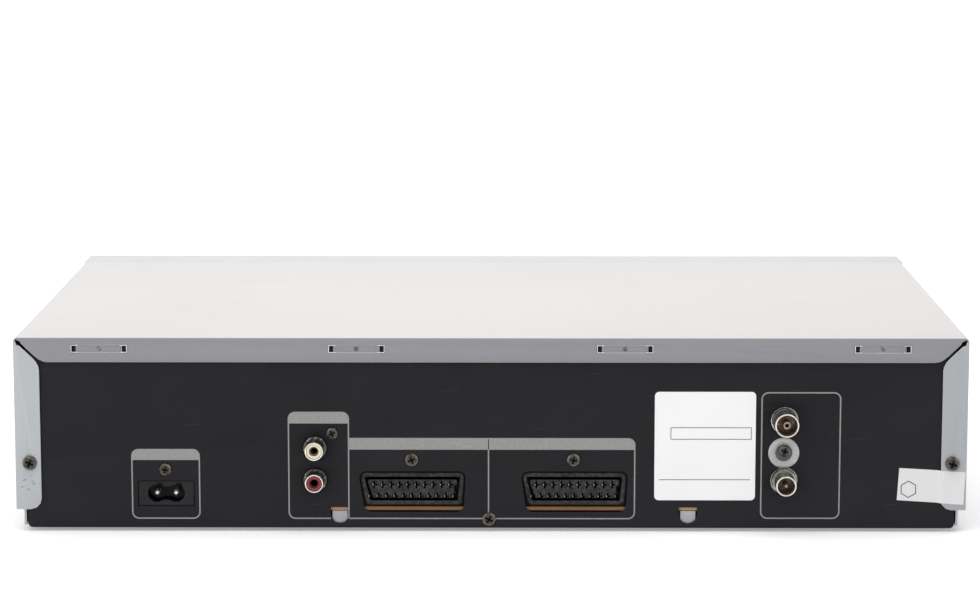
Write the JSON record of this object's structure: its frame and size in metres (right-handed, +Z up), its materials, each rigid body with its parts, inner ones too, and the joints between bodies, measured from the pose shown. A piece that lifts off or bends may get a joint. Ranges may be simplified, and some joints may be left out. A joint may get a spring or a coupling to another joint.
{
  "type": "video cassette recorder",
  "caption": "Free-standing front-loading cassette recorder with a bent steel cover, rear sockets, a tape deck and a rack-driven cassette lift.",
  "frame": {"origin": "middle of the overall box, on the floor under the feet", "axes": "+Z up, -Y towards the front with the cassette flap, +X to the right seen from the front"},
  "size_m": [0.43, 0.2842, 0.089],
  "materials": {
    "cover_paint": "satin light grey paint",
    "panel_paint": "satin charcoal paint",
    "plated_steel": "zinc plated",
    "foot_plastic": "matt moulded",
    "dark_screw": "dark bronze plated",
    "black_moulding": "moulded",
    "socket_moulding": "moulded",
    "nickel": "nickel plated",
    "white_insulator": "moulded",
    "red_insulator": "moulded",
    "tinned_steel": "tinned",
    "board_laminate": "bare laminate",
    "lamination_steel": "varnished laminations",
    "display_glass": "dark glass",
    "fascia_plastic": "fine moulded texture",
    "smoked_pane": "smoked and polished",
    "door_plastic": "fine moulded texture",
    "key_plastic": "satin moulded",
    "guide_brass": "turned",
    "drum_alloy": "diamond turned",
    "ground_steel": "ground",
    "motor_alloy": "die cast",
    "roller_rubber": "matt",
    "reel_nylon": "natural nylon",
    "head_steel": "polished"
  },
  "bodies": {
    "chassis": {"top_cover": "cover_paint", "base_chassis": "plated_steel", "rear_panel": "panel_paint", "front_panel": "fascia_plastic", "foot_front_left": "foot_plastic", "foot_front_right": "foot_plastic", "foot_rear_left": "foot_plastic", "foot_rear_right": "foot_plastic", "cover_screw_left": "dark_screw", "cover_screw_right": "dark_screw", "ac_inlet": "black_moulding", "ac_inlet_pin_left": "nickel", "ac_inlet_pin_right": "nickel", "audio_jack_block": "black_moulding", "audio_shell_left": "nickel", "audio_shell_right": "nickel", "audio_insulator_left": "white_insulator", "audio_insulator_right": "red_insulator", "av_socket_one": "socket_moulding", "av_socket_two": "socket_moulding", "tuner_module": "tinned_steel", "rf_in_socket": "nickel", "rf_out_socket": "nickel", "main_board": "board_laminate", "front_board": "board_laminate", "power_transformer": "lamination_steel", "display_tube": "display_glass", "display_window": "smoked_pane", "front_jack_block": "black_moulding", "deck_plate": "plated_steel", "lower_drum": "drum_alloy", "capstan_motor": "motor_alloy", "loading_motor": "motor_alloy", "full_erase_head": "head_steel", "audio_control_head": "head_steel", "cassette_housing": "plated_steel"},
    "cassette_door": {"cassette_door": "door_plastic"},
    "av_flap": {"av_flap": "door_plastic"},
    "eject_button": {"eject_button": "key_plastic"},
    "rewind_button": {"rewind_button": "key_plastic"},
    "play_button": {"play_button": "key_plastic"},
    "fast_forward_button": {"fast_forward_button": "key_plastic"},
    "stop_button": {"stop_button": "key_plastic"},
    "record_button": {"record_button": "key_plastic"},
    "power_button": {"power_button": "key_plastic"},
    "channel_rocker": {"channel_rocker": "key_plastic"},
    "upper_drum": {"upper_drum": "drum_alloy"},
    "capstan_flywheel": {"capstan_flywheel": "ground_steel"},
    "pinch_arm": {"pinch_arm": "plated_steel"},
    "pinch_roller": {"pinch_roller": "roller_rubber"},
    "supply_reel": {"supply_reel": "reel_nylon"},
    "takeup_reel": {"takeup_reel": "reel_nylon"},
    "idler_wheel": {"idler_wheel": "roller_rubber"},
    "cam_gear": {"cam_gear": "reel_nylon"},
    "loading_pinion": {"loading_pinion": "reel_nylon"},
    "supply_guide": {"supply_guide": "guide_brass"},
    "takeup_guide": {"takeup_guide": "guide_brass"},
    "carriage_slider": {"carriage_slider": "reel_nylon"},
    "drive_gear": {"drive_gear": "reel_nylon"},
    "cassette_holder": {"cassette_holder": "plated_steel"}
  },
  "joints": [
    {"name": "cassette_door_hinge", "type": "hinge", "parent": "chassis", "child": "cassette_door", "pos_m": [-0.05001, -0.138, 0.0782], "axis": [1, 0, 0], "range_deg": [0, 90], "stiffness_Nm_per_rad": 0.003, "springref_deg": -17.19},
    {"name": "av_flap_hinge", "type": "hinge", "parent": "chassis", "child": "av_flap", "pos_m": [-0.1625, -0.1393, 0.01044], "axis": [1, 0, 0], "range_deg": [0, 90]},
    {"name": "eject_button_press", "type": "slide", "parent": "chassis", "child": "eject_button", "axis": [0, 1, 0], "range_m": [0, 0.0008], "stiffness_N_per_m": 600},
    {"name": "rewind_button_press", "type": "slide", "parent": "chassis", "child": "rewind_button", "axis": [0, 1, 0], "range_m": [0, 0.0008], "stiffness_N_per_m": 600},
    {"name": "play_button_press", "type": "slide", "parent": "chassis", "child": "play_button", "axis": [0, 1, 0], "range_m": [0, 0.0008], "stiffness_N_per_m": 600},
    {"name": "fast_forward_button_press", "type": "slide", "parent": "chassis", "child": "fast_forward_button", "axis": [0, 1, 0], "range_m": [0, 0.0008], "stiffness_N_per_m": 600},
    {"name": "stop_button_press", "type": "slide", "parent": "chassis", "child": "stop_button", "axis": [0, 1, 0], "range_m": [0, 0.0008], "stiffness_N_per_m": 600},
    {"name": "record_button_press", "type": "slide", "parent": "chassis", "child": "record_button", "axis": [0, 1, 0], "range_m": [0, 0.0008], "stiffness_N_per_m": 600},
    {"name": "power_button_press", "type": "slide", "parent": "chassis", "child": "power_button", "axis": [0, 1, 0], "range_m": [0, 0.0008], "stiffness_N_per_m": 600},
    {"name": "channel_rocker_tilt", "type": "hinge", "parent": "chassis", "child": "channel_rocker", "pos_m": [0.14, -0.13965, 0.0255], "axis": [0, 0, 1], "range_deg": [-3, 3], "stiffness_Nm_per_rad": 0.2},
    {"name": "upper_drum_spin", "type": "hinge", "parent": "chassis", "child": "upper_drum", "pos_m": [-0.05001, 0.0446, 0.0362], "axis": [-0.104, 0, 0.9946], "continuous": true},
    {"name": "capstan_spin", "type": "hinge", "parent": "chassis", "child": "capstan_flywheel", "pos_m": [0.01199, 0.0226, 0.022], "axis": [0, 0, 1], "continuous": true},
    {"name": "supply_reel_spin", "type": "hinge", "parent": "chassis", "child": "supply_reel", "pos_m": [-0.09601, -0.0534, 0.0235], "axis": [0, 0, 1], "continuous": true},
    {"name": "takeup_reel_spin", "type": "hinge", "parent": "chassis", "child": "takeup_reel", "pos_m": [-0.00401, -0.0534, 0.0235], "axis": [0, 0, 1], "continuous": true},
    {"name": "idler_wheel_spin", "type": "hinge", "parent": "chassis", "child": "idler_wheel", "pos_m": [-0.05001, -0.0474, 0.0235], "axis": [0, 0, 1], "continuous": true},
    {"name": "cam_gear_turn", "type": "hinge", "parent": "chassis", "child": "cam_gear", "pos_m": [-0.13001, 0.0526, 0.0235], "axis": [0, 0, 1], "range_deg": [0, 140]},
    {"name": "loading_pinion_turn", "type": "hinge", "parent": "chassis", "child": "loading_pinion", "pos_m": [-0.10407, 0.06204, 0.0235], "axis": [0, 0, 1], "range_deg": [-280, 0]},
    {"name": "supply_guide_travel", "type": "hinge", "parent": "chassis", "child": "supply_guide", "pos_m": [-0.05001, 0.0446, 0.0235], "axis": [0, 0, 1], "range_deg": [-84, 0]},
    {"name": "takeup_guide_travel", "type": "hinge", "parent": "chassis", "child": "takeup_guide", "pos_m": [-0.05001, 0.0446, 0.0235], "axis": [0, 0, 1], "range_deg": [0, 84]},
    {"name": "pinch_arm_swing", "type": "hinge", "parent": "chassis", "child": "pinch_arm", "pos_m": [0.03799, 0.0306, 0.0235], "axis": [0, 0, 1], "range_deg": [-20, 0]},
    {"name": "pinch_roller_spin", "type": "hinge", "parent": "pinch_arm", "child": "pinch_roller", "pos_m": [0.02342, 0.00821, 0.0357], "axis": [0, 0, 1], "continuous": true},
    {"name": "carriage_travel", "type": "slide", "parent": "chassis", "child": "carriage_slider", "axis": [0, -1, 0], "range_m": [0, 0.06]},
    {"name": "drive_gear_turn", "type": "hinge", "parent": "chassis", "child": "drive_gear", "pos_m": [0.05419, -0.0224, 0.07505], "axis": [1, 0, 0], "range_deg": [-344, 0]},
    {"name": "holder_lift", "type": "slide", "parent": "carriage_slider", "child": "cassette_holder", "axis": [0, 0, 1], "range_m": [-0.016, 0]}
  ],
  "couplings": [
    {"joint": "loading_pinion_turn", "follows": "cam_gear_turn", "ratio": -2},
    {"joint": "supply_guide_travel", "follows": "cam_gear_turn", "ratio": -0.6},
    {"joint": "takeup_guide_travel", "follows": "cam_gear_turn", "ratio": 0.6},
    {"joint": "pinch_arm_swing", "follows": "cam_gear_turn", "ratio": -0.14286},
    {"joint": "drive_gear_turn", "follows": "carriage_travel", "rad_per_m": -100}
  ]
}
